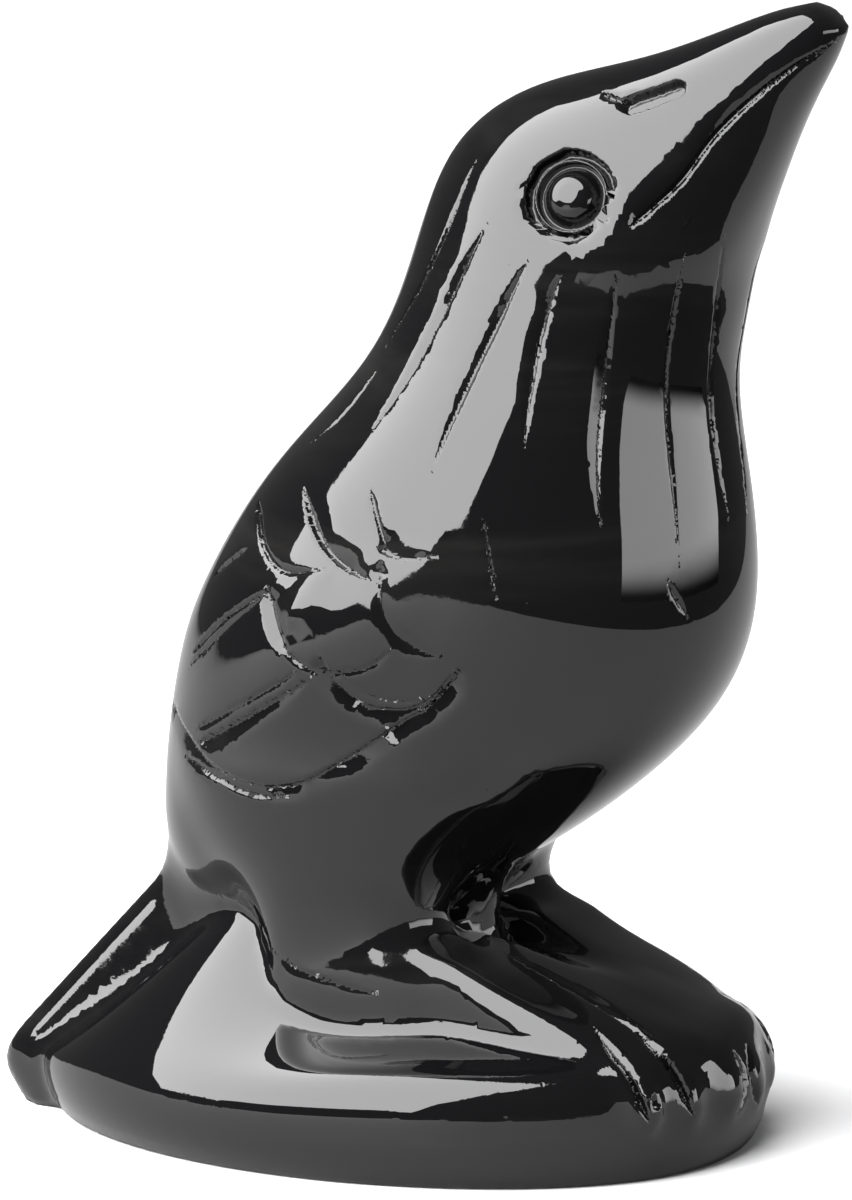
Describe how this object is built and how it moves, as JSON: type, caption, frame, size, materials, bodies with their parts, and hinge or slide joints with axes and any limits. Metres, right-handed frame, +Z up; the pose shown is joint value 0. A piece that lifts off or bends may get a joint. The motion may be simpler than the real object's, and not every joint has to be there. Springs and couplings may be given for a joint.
{
  "type": "carved raven figurine",
  "caption": "Pocket-size raven carved from glossy black stone: beak raised, grooved neck and wing feathers, feet and tail resting on a rounded mound cut from the same block.",
  "frame": {"origin": "middle of the bounding box at the flat underside of the mound", "axes": "+Z up; the bird faces -Y, so its right side is -X and its tail is at +Y"},
  "size_m": [0.0238, 0.0386, 0.0492],
  "materials": {
    "obsidian": "mirror-polished black volcanic glass with fine pits and small chips along the cut grooves"
  },
  "bodies": {
    "root": {"raven_carving": "obsidian"}
  },
  "joints": []
}
